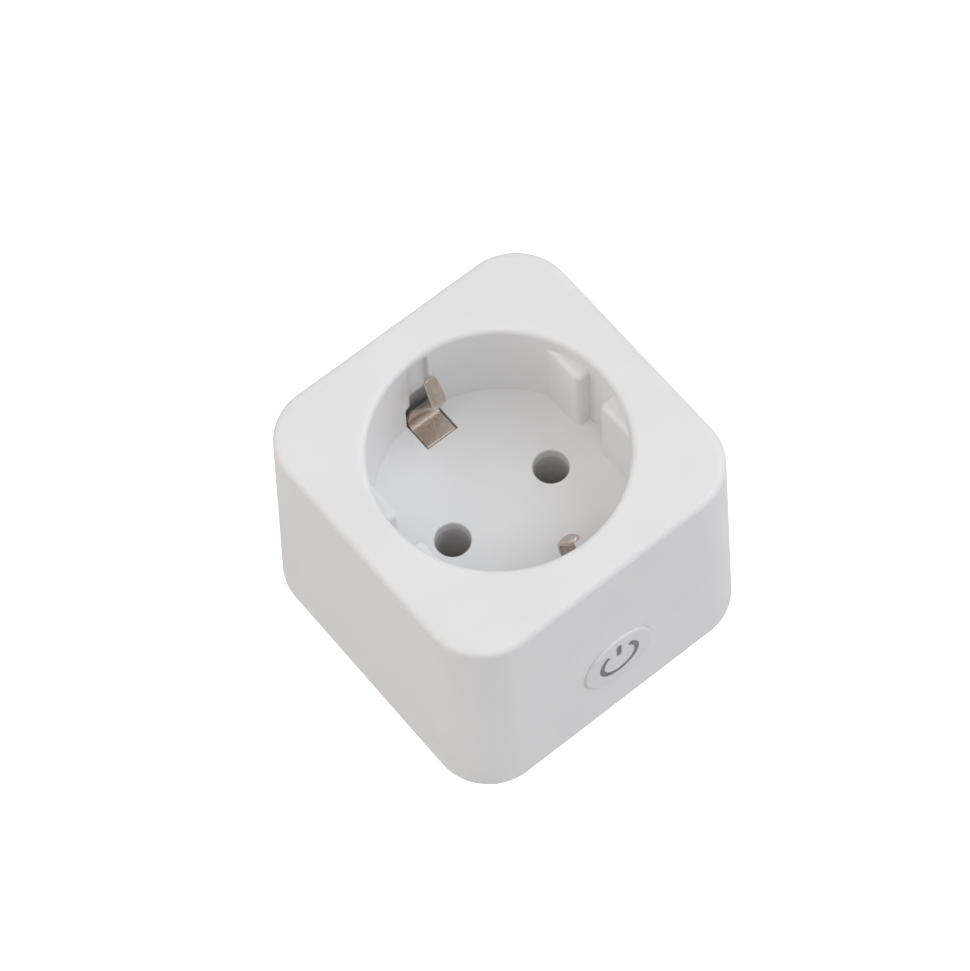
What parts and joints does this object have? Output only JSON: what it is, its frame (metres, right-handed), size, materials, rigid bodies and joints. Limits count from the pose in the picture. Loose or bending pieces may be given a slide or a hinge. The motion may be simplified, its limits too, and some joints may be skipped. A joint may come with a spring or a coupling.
{
  "type": "smart plug",
  "caption": "Drafted square smart plug with a round Schuko socket recess in front, a side push button with a power symbol, and a two-pin earthed plug barrel behind.",
  "frame": {"origin": "centre of the body's back face, the plane that meets the wall socket", "axes": "+Z out of the wall, through the socket recess; -Y towards the push button; the pins lie along X"},
  "size_m": [0.055, 0.0551, 0.0807],
  "materials": {
    "white_plastic": "fine satin moulding",
    "button_plastic": "fine satin moulding",
    "symbol_grey": "translucent, flush in the cap",
    "nickel_plate": "bright nickel",
    "zinc_steel": "zinc plated",
    "nickel_silver": "stamped sheet, dull bright",
    "tinned_bronze": "tinned sheet",
    "tinned_steel": "tinned sheet",
    "brass": "stamped sheet",
    "copper": "enamelled wire and bare copper",
    "black_plastic": "moulded",
    "board_green": "solder mask",
    "relay_plastic": "moulded",
    "capacitor_sleeve": "shrink sleeve",
    "film_yellow": "moulded box",
    "epoxy_blue": "dipped epoxy",
    "ferrite": "ferrite drum",
    "resistor_body": "flameproof coating",
    "led_clear": "clear epoxy"
  },
  "bodies": {
    "housing": {"board_header": "black_plastic", "bridge_rectifier": "black_plastic", "buck_inductor": "ferrite", "button_board": "board_green", "contact_carrier": "black_plastic", "cover_screws": "zinc_steel", "earth_bridge": "nickel_silver", "earth_link": "nickel_silver", "earth_rivets": "nickel_plate", "film_capacitor": "film_yellow", "filter_choke": "ferrite", "french_earth_sleeve": "tinned_bronze", "front_housing": "white_plastic", "fusible_resistor": "resistor_body", "input_capacitor": "capacitor_sleeve", "main_board": "board_green", "neutral_busbar": "brass", "output_capacitor": "capacitor_sleeve", "pin_strap_left": "brass", "pin_strap_right": "brass", "plug_pin_left": "nickel_plate", "plug_pin_right": "nickel_plate", "power_controller": "black_plastic", "rear_cover": "white_plastic", "rear_earth_bracket": "nickel_silver", "relay_base": "black_plastic", "relay_bobbin": "black_plastic", "relay_core": "zinc_steel", "relay_cover": "relay_plastic", "relay_fixed_contact": "copper", "relay_winding": "copper", "relay_yoke": "zinc_steel", "socket_contact_left": "tinned_bronze", "socket_contact_right": "tinned_bronze", "status_led": "led_clear", "switched_busbar": "brass", "tact_switch_body": "black_plastic", "varistor": "epoxy_blue", "wifi_board": "board_green", "wifi_shield": "tinned_steel"},
    "button": {"button_cap": "button_plastic", "button_light_guide": "symbol_grey"},
    "switch_plunger": {"tact_switch_plunger": "black_plastic"},
    "back_clip": {"earth_clip_back": "nickel_silver"},
    "front_clip": {"earth_clip_front": "nickel_silver"},
    "armature": {"relay_armature": "zinc_steel"}
  },
  "joints": [
    {"name": "button_press", "type": "slide", "parent": "housing", "child": "button", "axis": [0, 0.9996, -0.0291], "range_m": [0, 0.0004]},
    {"name": "switch_press", "type": "slide", "parent": "housing", "child": "switch_plunger", "axis": [0, 1, 0], "range_m": [0, 0.0004]},
    {"name": "back_clip_flex", "type": "hinge", "parent": "housing", "child": "back_clip", "pos_m": [0, 0.0193, 0.02775], "axis": [-1, 0, 0], "range_deg": [0, 9]},
    {"name": "front_clip_flex", "type": "hinge", "parent": "housing", "child": "front_clip", "pos_m": [0, -0.0193, 0.02775], "axis": [1, 0, 0], "range_deg": [0, 9]},
    {"name": "relay_armature_pull", "type": "hinge", "parent": "housing", "child": "armature", "pos_m": [-0.0121, 0.01535, 0.0167], "axis": [0, 1, 0], "range_deg": [0, 2.4]}
  ],
  "couplings": [
    {"joint": "switch_press", "follows": "button_press", "ratio": 1}
  ]
}
